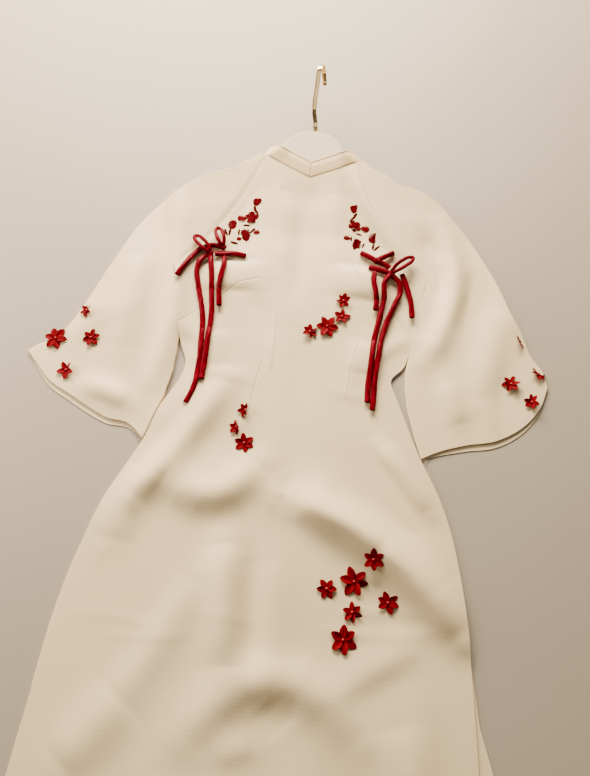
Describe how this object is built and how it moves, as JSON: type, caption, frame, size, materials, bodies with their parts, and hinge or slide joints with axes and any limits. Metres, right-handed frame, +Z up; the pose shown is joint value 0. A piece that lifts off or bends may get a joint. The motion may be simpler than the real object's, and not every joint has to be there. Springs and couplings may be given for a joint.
{
  "type": "ao dai tunic on a hanger",
  "caption": "Long ivory tunic laid flat, with raglan bell sleeves, a mitred stand collar, red ribbon bows and sewn cloth flowers, on a flat board hanger with a metal hook.",
  "frame": {"origin": "the middle of the whole piece's box in X and Y, on the surface it lies on", "axes": "+Y from the hem to the collar and the hanger's hook, +X to the right as seen from the front, +Z up out of the garment's front"},
  "size_m": [0.82, 1.3691, 0.0776],
  "materials": {
    "crepe": "heavy ivory crepe with a soft satin sheen",
    "ribbon": "glossy red satin",
    "flower": "red satin, pressed",
    "board": "satin off-white",
    "hook": "polished"
  },
  "bodies": {
    "root": {"front_panel": "crepe", "back_panel": "crepe", "sleeve_left": "crepe", "sleeve_right": "crepe", "collar_left": "crepe", "collar_right": "crepe", "hanger": "board", "hanger_hook": "hook", "tie_left_side": "ribbon", "tie_left_stub": "ribbon", "tie_left_long": "ribbon", "tie_left_second": "ribbon", "tie_left_short": "ribbon", "tie_right_up": "ribbon", "tie_right_stub": "ribbon", "tie_right_band": "ribbon", "tie_right_left": "ribbon", "tie_right_inner": "ribbon", "tie_right_long": "ribbon", "tie_right_second": "ribbon", "tie_right_short": "ribbon", "loop_left_outer": "ribbon", "loop_left_inner": "ribbon", "loop_right_outer": "ribbon", "knot_left_outer": "ribbon", "knot_left_inner": "ribbon", "knot_right_inner": "ribbon", "knot_right_outer": "ribbon", "flower_chest_1": "flower", "flower_chest_2": "flower", "flower_chest_3": "flower", "flower_chest_4": "flower", "flower_belly_1": "flower", "flower_belly_2": "flower", "flower_belly_3": "flower", "flower_skirt_1": "flower", "flower_skirt_2": "flower", "flower_skirt_3": "flower", "flower_skirt_4": "flower", "flower_skirt_5": "flower", "flower_skirt_6": "flower", "flower_sleeve_left_1": "flower", "flower_sleeve_left_2": "flower", "flower_sleeve_left_3": "flower", "flower_sleeve_left_4": "flower", "flower_sleeve_right_1": "flower", "flower_sleeve_right_2": "flower", "flower_sleeve_right_3": "flower", "flower_sleeve_right_4": "flower"}
  },
  "joints": []
}
